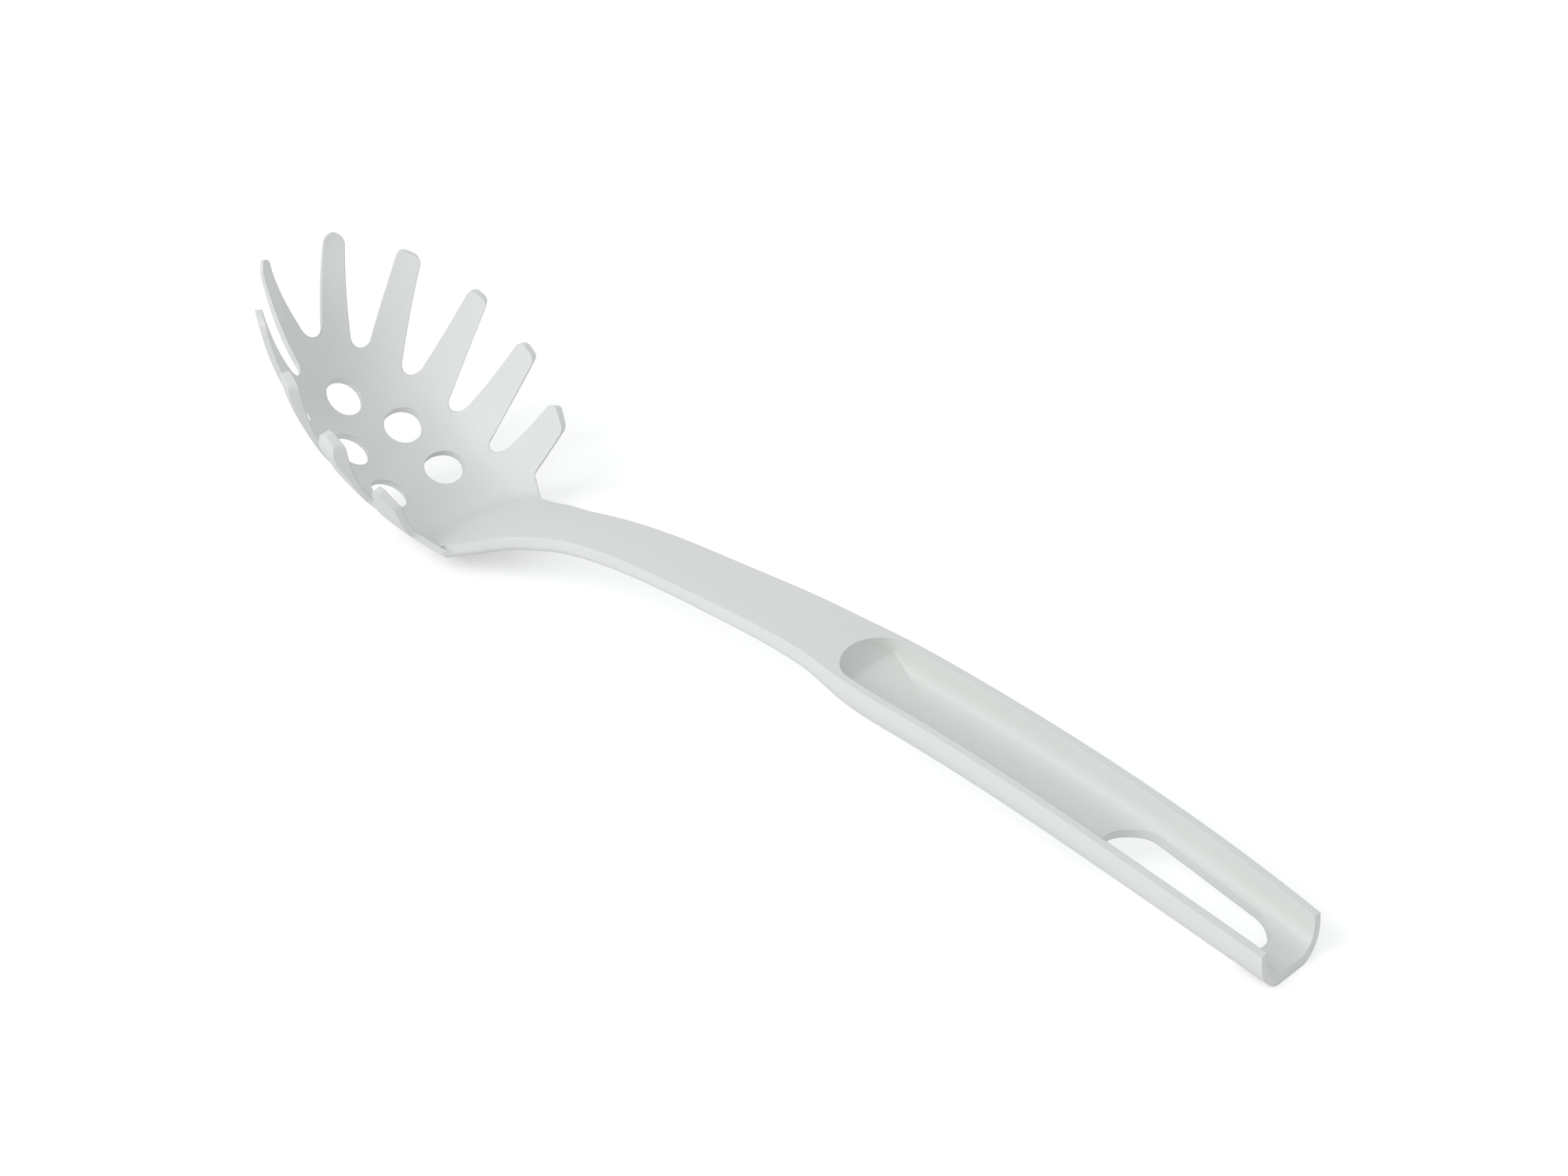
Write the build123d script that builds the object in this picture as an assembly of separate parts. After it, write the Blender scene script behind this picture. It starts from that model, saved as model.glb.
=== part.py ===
from build123d import *
import os
from math import cos, hypot, radians, sin, sqrt

# Pasta server, in millimetres: a perforated bowl with ten tines on a narrow neck,
# and a hollow channel grip with a scooped front and a hanging slot.
# Grip frame: X along the grip, zero at its rear rim and minus towards the bowl; Z up.
# Bowl frame: X back towards the grip, Z out of the bowl's mouth, zero at its lowest.

# Bowl. Its inner face rises by depth * reach cubed + flatness * reach squared, where
# reach is 1 on the ellipse of the half lengths and the half width.
bowl_front = 48.8
bowl_back = 61.1
bowl_half_width = 30.0
bowl_depth = 21.0
bowl_flatness = 3.2
bowl_wall = 1.6
bowl_tilt = 16.6
bowl_overhang = 18.5
bowl_rise = 8.4
patch_share = 1.28
patch_steps = 12

# Rim. The tines of each side end on an arc that leans outwards, square to their wall,
# and the two arcs would meet over the middle line at rim_height.
rim_height = 39.7
rim_crest_share = 0.287
rim_radius = 82.0
rim_lean = 18.0
tip_round_share = 0.060
tip_level_share = 0.5
tip_edge_share = 2.0

# Slots between the tines, from the front pair to the rear pair. Their places are
# shares of bowl_front and bowl_half_width, their widths and the depths of their round
# roots shares of bowl_half_width, their directions degrees from the front.
slot_width_share = 0.180
slot_depth_share = 0.080
slot_forward_shares = (0.586, 0.344, 0.053, -0.252)
slot_side_shares = (0.330, 0.543, 0.633, 0.625)
slot_directions = (33.0, 56.0, 74.0, 88.0)
slot_front_flanks = (16.0, 36.0, 54.0, 66.0)
slot_back_flanks = (47.0, 73.0, 87.0, 96.0)
front_slot_width_share = 0.247
front_slot_depth_share = 0.093
front_slot_share = 0.722
front_slot_flank = 24.0

# Rear rim: the back edge of the rear tine, the notch at its foot and the wall's edge
# from there to the neck. Places are shares of bowl_front and bowl_half_width.
rear_tine_flank = 75.0
notch_share = (-0.510, 0.665)
rear_rim_share = (-0.660, 0.540)
notch_round = 1.8

# Drain holes: one in front on the middle line, then two pairs.
drain_diameter = 9.6
drain_forward_shares = (0.427, 0.154, -0.156)
drain_side_shares = (0.0, 0.289, 0.304)

# Strap: the one bar that is the neck and, past the shoulder, the grip. Each section
# gives shares of strap_reach, half strap_width, strap_drop and strap_depth, its lower
# corner radius as a share of its own depth, and the share of strap_crown on its top.
strap_reach = 243.0
strap_width = 23.8
strap_drop = 41.0
strap_depth = 9.8
strap_crown = 1.0
neck_section_shares = (
    (1.000, 2.017, 0.945, 0.340, 0.50, 1.00),
    (0.971, 1.731, 0.862, 0.370, 0.50, 1.00),
    (0.938, 1.361, 0.744, 0.415, 0.50, 0.95),
    (0.909, 1.092, 0.642, 0.450, 0.50, 0.85),
    (0.885, 0.908, 0.551, 0.470, 0.50, 0.75),
    (0.860, 0.773, 0.476, 0.480, 0.50, 0.65),
    (0.835, 0.697, 0.408, 0.480, 0.50, 0.55),
    (0.782, 0.681, 0.295, 0.465, 0.50, 0.45),
    (0.720, 0.706, 0.204, 0.460, 0.50, 0.40),
    (0.663, 0.733, 0.140, 0.470, 0.50, 0.35),
    (0.613, 0.768, 0.086, 0.490, 0.50, 0.30),
    (0.564, 0.803, 0.038, 0.520, 0.50, 0.30),
    (0.523, 0.842, 0.010, 0.575, 0.54, 0.30),
)
shoulder_section_shares = (
    (0.523, 0.842, 0.010, 0.575, 0.54, 0.30),
    (0.498, 0.899, 0.001, 0.690, 0.62, 0.30),
    (0.473, 0.958, -0.007, 0.880, 0.72, 0.30),
    (0.449, 0.987, -0.016, 0.970, 0.75, 0.30),
    (0.424, 0.996, -0.027, 0.995, 0.76, 0.30),
)
grip_section_shares = (
    (0.424, 0.996, -0.027, 0.995, 0.76, 0.30),
    (0.276, 1.000, -0.067, 1.000, 0.76, 0.30),
    (0.128, 0.987, -0.056, 0.985, 0.76, 0.30),
    (-0.021, 0.857, -0.001, 0.920, 0.76, 0.30),
)
ramp_share = 0.9
wall_end_share = 0.83

# Channel in the grip. Its scooped front starts a little behind the shoulder's first
# section, with a blunt nose, and sinks by an arc to the floor at the grip's first.
rim_wall = 1.9
floor_wall = 2.0
scoop_setback = 6.3
scoop_nose = 8.0
scoop_radius = 27.3
scoop_lip = 0.1
channel_lift = 6.0

# Hanging slot through the channel's floor.
hang_front = -48.3
hang_rear = -6.7
hang_front_radius = 8.0
hang_rear_radius = 7.0

# Rear end: its lower edge stands out behind the rims.
end_x = -1.4
end_lean = 15.0

# Cutters run past what they cut. The resting tilt is sought between zero and turn_limit.
overrun = 60.0
corner_steps = 3
turn_limit = 20.0
settle_angle = 0.001


def reach(forward, side):
    half = bowl_front if forward > 0 else bowl_back
    return hypot(forward / half, side / bowl_half_width)


def bowl_point(forward, side, offset):
    """A point on the bowl's inner face, moved out along its normal by offset."""
    half = bowl_front if forward > 0 else bowl_back
    out = reach(forward, side)
    gain = 3 * bowl_depth * out + 2 * bowl_flatness
    slope_forward = gain * forward / half ** 2
    slope_side = gain * side / bowl_half_width ** 2
    drop = offset / hypot(slope_forward, slope_side, 1)
    height = bowl_depth * out ** 3 + bowl_flatness * out ** 2
    return (-forward - slope_forward * drop, side + slope_side * drop, height - drop)


def above_bowl(offset):
    """The space above the bowl's face at this offset from its inner face."""
    span = bowl_front + bowl_back
    rows = []
    for i in range(patch_steps + 1):
        forward = patch_share * (bowl_front - span * i / patch_steps)
        sides = [patch_share * bowl_half_width * (2 * j / patch_steps - 1) for j in range(patch_steps + 1)]
        rows.append([bowl_point(forward, side, offset) for side in sides])
    face = Face.make_surface_from_array_of_points(rows, tol=0.005, min_deg=3, max_deg=5)
    return extrude(face, amount=overrun, dir=(0, 0, 1))


def slot_cutter(forward, side, direction, width, depth, front_flank, back_flank):
    """A slot open outwards: a round root between two flanks that spread apart."""
    front_turn = radians(90 + direction - front_flank)
    back_turn = radians(90 + direction - back_flank)
    front_root = Vector(-width / 2, depth)
    back_root = Vector(width / 2, depth)
    front_end = front_root + Vector(cos(front_turn), sin(front_turn)) * overrun
    back_end = back_root + Vector(cos(back_turn), sin(back_turn)) * overrun
    root = ThreePointArc(front_root, (0, 0), back_root)
    sides = Polyline(back_root, back_end, front_end, front_root)
    cutter = extrude(make_face(Wire([*root.edges(), *sides.edges()])), amount=overrun, both=True)
    return Pos(-forward, side) * Rot(0, 0, 90 - direction) * cutter


def to_grip(shape):
    """From the bowl frame to the grip frame."""
    return Pos(-strap_reach - bowl_overhang, 0, bowl_rise - strap_drop) * Rot(0, bowl_tilt, 0) * shape


def corner_arcs(side, level, radius, start):
    """A quarter turn from start degrees clockwise, in corner_steps equal arcs."""
    step = 90 / corner_steps
    return [CenterArc((side, level), radius, start - i * step, -step) for i in range(corner_steps)]


def section(x, half, top, deep, corner, crown):
    """Closed outline across the strap: crowned top, upright sides, rounded below."""
    foot = top - deep
    outline = Wire([
        ThreePointArc((-half, top), (0, top + crown), (half, top)),
        Line((half, top), (half, foot + corner)),
        *corner_arcs(half - corner, foot + corner, corner, 0),
        Line((half - corner, foot), (corner - half, foot)),
        *corner_arcs(corner - half, foot + corner, corner, -90),
        Line((-half, foot + corner), (-half, top)),
    ])
    return Plane(origin=(x, 0, 0), x_dir=(0, 1, 0), z_dir=(1, 0, 0)) * make_face(outline)


def strap_section(shares, rim=0.0, floor=0.0, lift=0.0):
    """One section of the strap, or of the channel inside its rim and floor walls."""
    at, wide, drop, deep, corner, crown = shares
    depth = deep * strap_depth
    inset = sqrt(rim * floor)
    return section(-at * strap_reach, wide * strap_width / 2 - rim, lift - drop * strap_drop,
                   depth - floor + lift, corner * depth - inset, crown * strap_crown)


def slots():
    """Cutters for the nine slots between the ten tines."""
    cutters = [slot_cutter(front_slot_share * bowl_front, 0, 0, front_slot_width_share * bowl_half_width,
                           front_slot_depth_share * bowl_half_width, -front_slot_flank, front_slot_flank)]
    width = slot_width_share * bowl_half_width
    depth = slot_depth_share * bowl_half_width
    for forward, side, direction, front, back in zip(slot_forward_shares, slot_side_shares, slot_directions,
                                                     slot_front_flanks, slot_back_flanks):
        cutter = slot_cutter(forward * bowl_front, side * bowl_half_width, direction, width, depth, front, back)
        cutters += [cutter, mirror(cutter, Plane.XZ)]
    return cutters


def rear_trim():
    """Outside the rear rim: behind the rear tine, along the notch and down to the neck."""
    notch = Vector(-notch_share[0] * bowl_front, notch_share[1] * bowl_half_width)
    corner = Vector(-rear_rim_share[0] * bowl_front, rear_rim_share[1] * bowl_half_width)
    flank = Vector(-cos(radians(rear_tine_flank)), sin(radians(rear_tine_flank))) * overrun
    along = (corner - notch).normalized() * overrun
    outline = Polyline(notch, notch + flank, corner + along + flank, corner + along, close=True)
    face = fillet(make_face(outline).vertices().sort_by_distance(notch)[0], notch_round)
    cutter = extrude(face, amount=overrun, both=True)
    return [cutter, mirror(cutter, Plane.XZ)]


def drains():
    """Cutters for the drain holes, all square to the bowl's mouth."""
    cutters = []
    for forward, side in zip(drain_forward_shares, drain_side_shares):
        for hand in (1, -1) if side else (1,):
            centre = Pos(-forward * bowl_front, hand * side * bowl_half_width)
            cutters.append(centre * Cylinder(drain_diameter / 2, overrun))
    return cutters


def under_rim():
    """The space under the two leaning arcs on which the tines end."""
    lean = radians(rim_lean)
    disc = Pos(-rim_crest_share * bowl_front, 0, rim_height - rim_radius) * Rot(90, 0, 0) * Circle(rim_radius)
    side = extrude(disc, amount=overrun, dir=(0, cos(lean), -sin(lean)), both=True)
    return side & mirror(side, Plane.XZ)


def make_bar(*sizes):
    """The shoulder and the grip, or the hollow inside their walls."""
    shoulder = loft([strap_section(shares, *sizes) for shares in shoulder_section_shares])
    return shoulder + loft([strap_section(shares, *sizes) for shares in grip_section_shares])


def behind(x):
    """All space behind a plane across the strap."""
    block = Box(strap_reach, strap_reach, strap_reach, align=(Align.MIN, Align.CENTER, Align.CENTER))
    return Pos(x, 0, 0) * block


def under_strap():
    """The space under the strap's middle, where the bowl's wall gives way to the neck."""
    shares = [row for row in neck_section_shares if row[0] > wall_end_share]
    line = [(-at * strap_reach, -drop * strap_drop - deep * strap_depth / 2) for at, _, drop, deep, *_ in shares]
    low = -strap_drop - overrun
    outline = Polyline(*line, (line[-1][0], low), (line[0][0], low), close=True)
    return extrude(Plane.XZ * make_face(outline), amount=overrun, both=True)


def round_tips(shell):
    """Round the tips, at the short edges that cross the wall at the top of each flank."""
    short = [edge for edge in shell.edges() if edge.length < tip_edge_share * bowl_wall]
    corners = [edge for edge in short if edge.center().Z > tip_level_share * rim_height]
    return shell.fillet(tip_round_share * bowl_half_width, corners)


def make_head():
    """The bowl, its tines and its neck, as far as the shoulder."""
    outer = above_bowl(bowl_wall)
    plug = (outer & under_rim()) - slots() - rear_trim() - drains()
    shell = (plug - above_bowl(0)).solids().sort_by(SortBy.VOLUME)[-1]
    wall = to_grip(round_tips(shell)) - under_strap()
    neck = loft([strap_section(shares) for shares in neck_section_shares])
    past_ramp = behind(-ramp_share * strap_reach)
    ramp = (neck - past_ramp) & to_grip(outer)
    head = wall + (ramp + (neck & past_ramp))
    return head.solids().sort_by(SortBy.VOLUME)[-1]


def channel_space():
    """The hollow of the grip: the strap inside its walls, behind the scooped front."""
    hollow = make_bar(rim_wall, floor_wall, channel_lift)
    scoop_x = scoop_setback - shoulder_section_shares[0][0] * strap_reach
    floor = [(-at * strap_reach, -drop * strap_drop - deep * strap_depth + floor_wall)
             for at, _, drop, deep, *_ in grip_section_shares]
    start = Vector(*floor[0])
    lip = Vector(scoop_x, scoop_lip)
    ramp = RadiusArc(lip, start, -scoop_radius)
    rise = Polyline(start, *floor[1:], (overrun, floor[-1][1]), (overrun, overrun), (scoop_x, overrun), lip)
    side = extrude(Plane.XZ * make_face(Wire([*ramp.edges(), *rise.edges()])), amount=overrun, both=True)
    half = strap_width / 2 - rim_wall
    nose = EllipticalCenterArc((scoop_x + scoop_nose, 0), scoop_nose, half, start_angle=90, arc_size=180)
    back = Polyline(nose @ 1, (overrun, -half), (overrun, half), nose @ 0)
    top = extrude(make_face(Wire([*nose.edges(), *back.edges()])), amount=overrun, both=True)
    return hollow & side & top


def hanging_slot():
    front = Pos(hang_front + hang_front_radius, 0) * Circle(hang_front_radius)
    rear = Pos(hang_rear - hang_rear_radius, 0) * Circle(hang_rear_radius)
    return extrude(make_hull([*front.edges(), *rear.edges()]), amount=overrun, both=True)


def make_grip():
    """The channel grip, from the shoulder to its oblique open end."""
    bar = make_bar() - channel_space() - hanging_slot()
    return bar - Pos(end_x, 0, 0) * Rot(0, -end_lean, 0) * behind(0)


def lowest(shape, turn):
    return (Rot(0, turn, 0) * shape).bounding_box().min.Z


def resting_turn(head, grip):
    """How far the server tips back about Y until bowl and grip both touch the table."""
    low = 0
    high = turn_limit
    while high - low > settle_angle:
        turn = (low + high) / 2
        if lowest(head, turn) < lowest(grip, turn):
            low = turn
        else:
            high = turn
    return (low + high) / 2


head = make_head()
grip = make_grip()
turn = resting_turn(head, grip)
box = (Rot(0, turn, 0) * Compound([head, grip])).bounding_box()
stand = Pos(-box.center().X, -box.center().Y, -box.min.Z) * Rot(0, turn, 0)
os.makedirs("parts", exist_ok=True)
for name, piece in (("head", head), ("handle", grip)):
    export_step(stand * piece, "parts/" + name + ".step")
print("turned back by", turn, "degrees about Y, then moved by", stand.position)
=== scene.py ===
# %% [markdown]
# The pasta server is one colour of satin white plastic. The measured model gives its
# shapes, so this script adds what a measured model has not: smooth shading, round front
# tips, eased edges, the moulded surface, a floor, light, and a camera where the
# photographer stood.

# %% Load the measured model
from math import cos, radians, sin, sqrt

import bmesh
import bpy
from mathutils import Matrix, Vector


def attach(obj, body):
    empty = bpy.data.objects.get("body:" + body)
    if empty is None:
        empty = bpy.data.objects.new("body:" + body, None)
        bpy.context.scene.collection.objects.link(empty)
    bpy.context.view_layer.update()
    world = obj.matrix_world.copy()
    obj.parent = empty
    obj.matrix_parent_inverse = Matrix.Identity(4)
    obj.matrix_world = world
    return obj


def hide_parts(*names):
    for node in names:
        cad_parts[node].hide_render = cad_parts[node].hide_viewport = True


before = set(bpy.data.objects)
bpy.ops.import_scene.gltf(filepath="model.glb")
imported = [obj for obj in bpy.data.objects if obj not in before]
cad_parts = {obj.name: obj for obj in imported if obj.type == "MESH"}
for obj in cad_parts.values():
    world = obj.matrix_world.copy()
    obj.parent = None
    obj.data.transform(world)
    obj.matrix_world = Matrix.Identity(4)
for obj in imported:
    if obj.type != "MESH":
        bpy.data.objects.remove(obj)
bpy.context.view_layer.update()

MM = 0.001
print("nodes", sorted(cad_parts))

# %% [markdown]
# The tines of the real bowl end in a full half round. The measured model has a smaller
# round at each corner of the tip, with a short flat between. The two front tines stand
# highest and end square, so the copy of the bowl lowers their edges onto the half circle
# that fits their width. The tips of the other tines end at a slant, where the same move
# would fold the mesh, and they keep the measured shape. A tip is told by its small end
# face, high up, which looks along the tine.

# %% Front tips
corner_angle = radians(32)
tip_level = 52 * MM
tip_end_rise = 0.62
tip_zone = 4.5 * MM


def tip_ends(skin):
    """The end faces of the front tines, one list for each tine."""
    ends = []
    for face in skin.faces:
        centre = face.calc_center_median()
        if centre.z < tip_level or face.normal.z < tip_end_rise:
            continue
        for end in ends:
            if (centre - end[0].calc_center_median()).length < tip_zone:
                end.append(face)
                break
        else:
            ends.append([face])
    return ends


def mean_over(faces, measure):
    """The mean of a measure of some faces, weighted by their areas."""
    total = sum((measure(face) * face.calc_area() for face in faces), Vector())
    return total / sum(face.calc_area() for face in faces)


# %% [markdown]
# A tip needs more points before it can be round, so the long edges of its flat are
# divided first. Each point then drops by what a half circle has dropped at its distance
# from the middle, less what the measured corner has dropped there already. The move
# fades out down the tine.

# %% Half round
tip_corner_round = 1.8 * MM
tip_corner_reach = 1.05 * tip_corner_round
tip_flat_edge = 0.8 * MM
tip_cuts = 5


def corner_drop(side, half, radius):
    """How far a tip of this half width and corner radius has dropped at one side."""
    past = min(radius, max(0, side - max(0, half - radius)))
    return radius - sqrt(radius ** 2 - past ** 2)


def round_tip(skin, end):
    """Lower the edges of one tip onto a half circle across its width."""
    centre = mean_over(end, lambda face: face.calc_center_median())
    upward = mean_over(end, lambda face: face.normal).normalized()
    edges = {edge for face in end for edge in face.edges}
    border = [edge for edge in edges if edge.calc_face_angle(0) > corner_angle]
    longest = max(border, key=lambda edge: edge.calc_length())
    across = (longest.verts[1].co - longest.verts[0].co).normalized()
    flats = [edge for edge in border if edge.calc_length() > tip_flat_edge]
    bmesh.ops.subdivide_edges(skin, edges=flats, cuts=tip_cuts)
    zone = [vert for vert in skin.verts if (vert.co - centre).length < tip_zone]
    heights = [(vert.co - centre).dot(upward) for vert in zone]
    sides = [(vert.co - centre).dot(across) for vert in zone]
    top = max(heights)
    near = [side for side, height in zip(sides, heights) if top - height < tip_corner_reach]
    middle = (max(near) + min(near)) / 2
    half = (max(near) - min(near)) / 2
    for vert, side, height in zip(zone, sides, heights):
        side = min(half, abs(side - middle))
        lower = corner_drop(side, half, half) - corner_drop(side, half, tip_corner_round)
        share = (tip_zone - top + height) / (tip_zone - tip_corner_round)
        vert.co -= upward * max(0, lower) * max(0, min(1, share))
    return 2 * half


# %% [markdown]
# The measured model arrives as loose triangles, which shade as facets. A copy that is
# merged into one skin stands for each measured node. Its faces are shaded smooth, so
# that each broad face reads as one sweep. Only outer corners stay sharp: a hollow one
# is moulded with a soft fillet, and smooth shading gives it that.

# %% Merged copies
merge_gap = 0.002 * MM


def moulded_copy(node):
    """A merged, smoothly shaded copy of a measured node that stands for it."""
    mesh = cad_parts[node].data.copy()
    piece = bpy.data.objects.new("moulded_" + node, mesh)
    bpy.context.scene.collection.objects.link(piece)
    skin = bmesh.new()
    skin.from_mesh(mesh)
    bmesh.ops.remove_doubles(skin, verts=skin.verts, dist=merge_gap)
    for end in tip_ends(skin):
        print("round tip", round(round_tip(skin, end) / MM, 2), "mm wide")
    skin.normal_update()
    for face in skin.faces:
        face.smooth = True
    corners = [edge for edge in skin.edges if edge.calc_face_angle_signed(0) > corner_angle]
    for edge in corners:
        edge.smooth = False
    open_edges = sum(not edge.is_manifold for edge in skin.edges)
    print(node, len(skin.faces), "faces,", len(corners), "corner edges,", open_edges, "open")
    skin.to_mesh(mesh)
    skin.free()
    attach(piece, "root")
    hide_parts(node)
    return piece


pieces = [moulded_copy(node) for node in ("head", "handle")]

# %% [markdown]
# Materials are trees of nodes. Two helpers keep them short: one puts a node in a tree and
# links its inputs or gives them a value, and one starts a group with named sockets.

# %% Node helpers
def put(tree, kind, feeds=(), **settings):
    """A new node with these settings, each input linked to a socket or given a value."""
    node = tree.nodes.new(kind)
    for name, value in settings.items():
        setattr(node, name, value)
    for name, source in dict(feeds).items():
        if isinstance(source, bpy.types.NodeSocket):
            tree.links.new(source, node.inputs[name])
        else:
            node.inputs[name].default_value = source
    return node


def new_group(name, inputs, outputs):
    """A group with these sockets, and its input sockets by name."""
    tree = bpy.data.node_groups.new(name, "ShaderNodeTree")
    for label, kind, value in inputs:
        socket = tree.interface.new_socket(name=label, in_out="INPUT", socket_type=kind)
        socket.default_value = value
    for label, kind in outputs:
        tree.interface.new_socket(name=label, in_out="OUTPUT", socket_type=kind)
    return tree, put(tree, "NodeGroupInput").outputs


# %% [markdown]
# Satin plastic is a soft gloss over a body that light enters a little. Its colour is
# never quite even: the melt flows from the gate and cools at its own pace, so tone and
# gloss drift by a few percent over centimetres, and the spark-eroded steel leaves a
# grain too fine to see singly. One node group puts out all three.

# %% Moulded surface group
drift_detail = 3.0
grain_detail = 2.0


def moulded_surface_group():
    """Tone, gloss and grain of moulded plastic, on the object's own coordinates."""
    tree, given = new_group(
        "moulded_surface",
        (("Colour A", "NodeSocketColor", (0.808, 0.822, 0.782, 1)),
         ("Colour B", "NodeSocketColor", (0.798, 0.816, 0.802, 1)),
         ("Drift Scale", "NodeSocketFloat", 18.0),
         ("Grain Scale", "NodeSocketFloat", 2600.0),
         ("Gloss Low", "NodeSocketFloat", 0.36),
         ("Gloss High", "NodeSocketFloat", 0.44)),
        (("Colour", "NodeSocketColor"), ("Roughness", "NodeSocketFloat"),
         ("Grain", "NodeSocketFloat")))
    place = put(tree, "ShaderNodeTexCoord").outputs["Object"]
    drift = put(tree, "ShaderNodeTexNoise", {
        "Vector": place, "Scale": given["Drift Scale"], "Detail": drift_detail}).outputs["Fac"]
    grain = put(tree, "ShaderNodeTexNoise", {
        "Vector": place, "Scale": given["Grain Scale"], "Detail": grain_detail}).outputs["Fac"]
    tone = put(tree, "ShaderNodeMix", {
        "Factor": drift, "A": given["Colour A"], "B": given["Colour B"]}, data_type="RGBA")
    gloss = put(tree, "ShaderNodeMapRange", {
        "Value": drift, "To Min": given["Gloss Low"], "To Max": given["Gloss High"]})
    put(tree, "NodeGroupOutput", {
        "Colour": tone.outputs["Result"], "Roughness": gloss.outputs["Result"], "Grain": grain})
    return tree


# %% [markdown]
# The real tool has no knife-sharp edge: steel that forms plastic is eased a little
# wherever two faces meet. The easing is a third of a millimetre, finer than the mesh,
# and a Bevel modifier on these narrow triangles either folds or does nothing. So the
# Bevel node does it: it turns the normal near a corner by what lies within a radius.
# The radius shrinks to nothing where head and handle meet, because the real tool shows
# no groove there.

# %% Eased edge group
ease_samples = 8


def joint_plane():
    """The middle of the flat face that the handle turns to the head, and its normal."""
    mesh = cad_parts["handle"].data
    forward = min(mesh.polygons, key=lambda face: face.normal.x * face.area)
    return forward.center.copy(), forward.normal.copy()


def eased_edge_group():
    """A normal that turns softly over the corners of the piece, but not at the joint."""
    middle, normal = joint_plane()
    print("joint plane", middle, normal)
    tree, given = new_group(
        "eased_edge",
        (("Edge Radius", "NodeSocketFloat", 0.35 * MM),
         ("Joint Clear", "NodeSocketFloat", 0.4 * MM),
         ("Joint Half Width", "NodeSocketFloat", 0.8 * MM)),
        (("Normal", "NodeSocketVector"),))
    place = put(tree, "ShaderNodeTexCoord").outputs["Object"]
    along = put(tree, "ShaderNodeVectorMath", {0: place, 1: normal}, operation="DOT_PRODUCT")
    past = put(tree, "ShaderNodeMath", {
        0: along.outputs["Value"], 1: middle.dot(normal)}, operation="SUBTRACT")
    gap = put(tree, "ShaderNodeMath", {0: past.outputs["Value"]}, operation="ABSOLUTE")
    clear = put(tree, "ShaderNodeMapRange", {
        "Value": gap.outputs["Value"], "From Min": given["Joint Clear"],
        "From Max": given["Joint Half Width"]})
    radius = put(tree, "ShaderNodeMath", {
        0: given["Edge Radius"], 1: clear.outputs["Result"]}, operation="MULTIPLY")
    ease = put(tree, "ShaderNodeBevel", {"Radius": radius.outputs["Value"]}, samples=ease_samples)
    put(tree, "NodeGroupOutput", {"Normal": ease.outputs["Normal"]})
    return tree


# %% [markdown]
# The material is one Principled shader. The first group drives its colour, its roughness
# and, through a very low bump, its grain. The second group's eased normal goes under the
# bump, so that the grain lies on the rounded edge.

# %% Satin white plastic
grain_strength = 0.04
grain_height = 0.05 * MM
plastic_ior = 1.47


def satin_plastic():
    """Satin white plastic, as a material."""
    material = bpy.data.materials.new("satin_white_plastic")
    material.use_nodes = True
    tree = material.node_tree
    surface = put(tree, "ShaderNodeGroup", node_tree=moulded_surface_group()).outputs
    edges = put(tree, "ShaderNodeGroup", node_tree=eased_edge_group()).outputs
    bump = put(tree, "ShaderNodeBump", {
        "Strength": grain_strength, "Distance": grain_height,
        "Height": surface["Grain"], "Normal": edges["Normal"]})
    shader = tree.nodes["Principled BSDF"]
    shader.inputs["IOR"].default_value = plastic_ior
    tree.links.new(surface["Colour"], shader.inputs["Base Color"])
    tree.links.new(surface["Roughness"], shader.inputs["Roughness"])
    tree.links.new(bump.outputs["Normal"], shader.inputs["Normal"])
    return material


plastic = satin_plastic()
for piece in pieces:
    piece.data.materials.clear()
    piece.data.materials.append(plastic)
    print(piece.name, len(piece.data.polygons), "faces in", plastic.name)

# %% [markdown]
# The photograph is cut out on pure white. A pale floor gives the tool something to lie
# on and keeps its soft shadow. For the camera alone the floor gets a trace of its own
# light, which grows with the distance from the tool, so that it reads as white out to
# the horizon without any more light falling on the plastic.

# %% Floor
floor_half = 6.0
floor_tone = (0.88, 0.88, 0.88, 1)
floor_roughness = 0.9
pure_white = (1, 1, 1, 1)
glow_start = 0.2
glow_end = 1.5
near_glow = 0.36
far_glow = 1.0


def floor_paint():
    """Matt pale paint that glows a little, for the camera alone."""
    material = bpy.data.materials.new("pale_floor")
    material.use_nodes = True
    tree = material.node_tree
    place = put(tree, "ShaderNodeTexCoord").outputs["Object"]
    away = put(tree, "ShaderNodeVectorMath", {0: place}, operation="LENGTH")
    fade = put(tree, "ShaderNodeMapRange", {
        "Value": away.outputs["Value"], "From Min": glow_start, "From Max": glow_end,
        "To Min": near_glow, "To Max": far_glow})
    seen = put(tree, "ShaderNodeLightPath").outputs["Is Camera Ray"]
    glow = put(tree, "ShaderNodeMath", {0: seen, 1: fade.outputs["Result"]}, operation="MULTIPLY")
    shader = tree.nodes["Principled BSDF"]
    shader.inputs["Base Color"].default_value = floor_tone
    shader.inputs["Roughness"].default_value = floor_roughness
    shader.inputs["Specular IOR Level"].default_value = 0
    shader.inputs["Emission Color"].default_value = pure_white
    tree.links.new(glow.outputs["Value"], shader.inputs["Emission Strength"])
    return material


def pale_floor():
    """A wide square floor at table height."""
    mesh = bpy.data.meshes.new("floor")
    signs = ((-1, -1), (1, -1), (1, 1), (-1, 1))
    mesh.from_pydata([(x * floor_half, y * floor_half, 0) for x, y in signs], [], [range(4)])
    mesh.materials.append(floor_paint())
    floor = bpy.data.objects.new("floor", mesh)
    bpy.context.scene.collection.objects.link(floor)
    return floor


print("floor", 2 * floor_half, "m wide,", pale_floor().data.materials[0].name)

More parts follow.
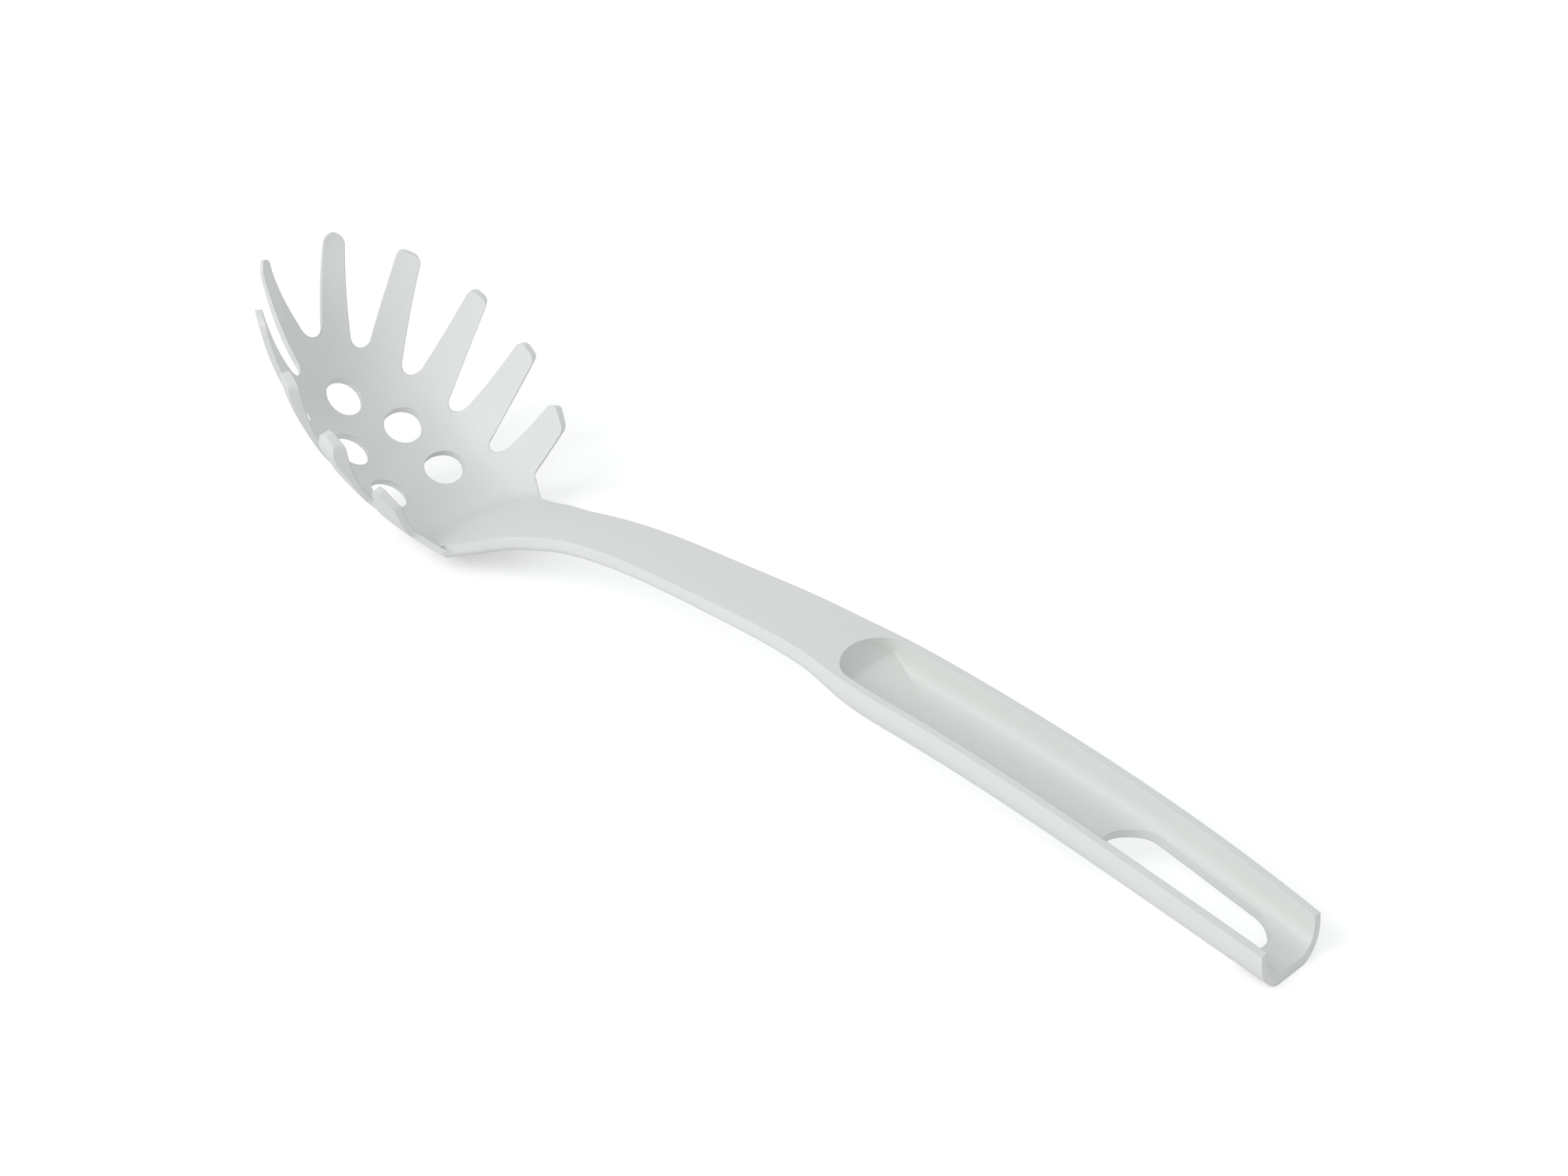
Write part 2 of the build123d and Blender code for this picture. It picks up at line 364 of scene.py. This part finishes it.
# %% [markdown]
# The shading in the photograph is soft. Faces turned to the camera's side are the
# lightest, and tines and ends that face along the tool are darker. So one broad lamp
# stands high on the camera's side, and the world gives a strong fill that is brightest
# near the horizon and weaker from both ends of the tool, as between two dark screens.

# %% Broad lamp
lamp_place = Vector((-0.35, -1.05, 0.95))
lamp_size = 0.8
lamp_watts = 6.0


def broad_lamp():
    """A square soft lamp that looks at the tool."""
    data = bpy.data.lights.new("broad_lamp", "AREA")
    data.shape = "SQUARE"
    data.size = lamp_size
    data.energy = lamp_watts
    lamp = bpy.data.objects.new("broad_lamp", data)
    lamp.location = lamp_place
    lamp.rotation_euler = (-lamp_place).to_track_quat("-Z", "Y").to_euler()
    bpy.context.scene.collection.objects.link(lamp)
    return lamp


print("lamp", round(broad_lamp().location.length, 2), "m away")

# %% White surroundings
horizon_strength = 1.27
zenith_strength = 0.59
middle_share = 1.15
flank_share = 0.42
daylight = (0.97, 0.985, 1.0, 1)


def white_surroundings():
    """A dome, bright at the horizon and dim at the flanks, white where the camera sees it."""
    world = bpy.data.worlds.new("studio")
    bpy.context.scene.world = world
    world.use_nodes = True
    tree = world.node_tree
    direction = put(tree, "ShaderNodeTexCoord").outputs["Generated"]
    axes = put(tree, "ShaderNodeSeparateXYZ", {"Vector": direction}).outputs
    fade = put(tree, "ShaderNodeMapRange", {
        "Value": axes["Z"], "To Min": horizon_strength, "To Max": zenith_strength})
    flank = put(tree, "ShaderNodeMath", {0: axes["X"]}, operation="ABSOLUTE")
    side = put(tree, "ShaderNodeMapRange", {
        "Value": flank.outputs["Value"], "To Min": middle_share, "To Max": flank_share})
    light = put(tree, "ShaderNodeMath", {
        0: fade.outputs["Result"], 1: side.outputs["Result"]}, operation="MULTIPLY")
    dome = put(tree, "ShaderNodeBackground", {
        "Color": daylight, "Strength": light.outputs["Value"]})
    white = put(tree, "ShaderNodeBackground", {"Color": pure_white})
    seen = put(tree, "ShaderNodeLightPath").outputs["Is Camera Ray"]
    choice = put(tree, "ShaderNodeMixShader", {
        0: seen, 1: dome.outputs["Background"], 2: white.outputs["Background"]})
    tree.links.new(choice.outputs["Shader"], tree.nodes["World Output"].inputs["Surface"])
    return world


print("world", white_surroundings().name)

# %% [markdown]
# The camera's place was found by fitting a symmetric bowl and a straight handle to the
# outline in the photograph. Its lens is long, and it is rolled a few degrees, which the
# slope of the handle in the picture asks for.

# %% Camera
target = Vector((9.36, 0, 29.95)) * MM
distance = 779.8 * MM
azimuth = radians(38.657)
elevation = radians(31.801)
roll = radians(4.172)
lens_mm = 80.84
nearest_seen = 10 * MM


def photo_camera():
    """The camera at the photograph's viewing angle."""
    level = cos(elevation)
    forward = Vector((-sin(azimuth) * level, cos(azimuth) * level, -sin(elevation)))
    level_right = forward.cross(Vector((0, 0, 1))).normalized()
    level_up = level_right.cross(forward)
    right = cos(roll) * level_right + sin(roll) * level_up
    axes = Matrix((right, right.cross(forward), -forward)).transposed().to_4x4()
    data = bpy.data.cameras.new("photo_camera")
    data.lens = lens_mm
    data.clip_start = nearest_seen
    camera = bpy.data.objects.new("photo_camera", data)
    camera.matrix_world = Matrix.Translation(target - distance * forward) @ axes
    bpy.context.scene.collection.objects.link(camera)
    bpy.context.scene.camera = camera
    return camera


print("camera at", photo_camera().matrix_world.translation)
bpy.context.scene.view_settings.view_transform = "Standard"
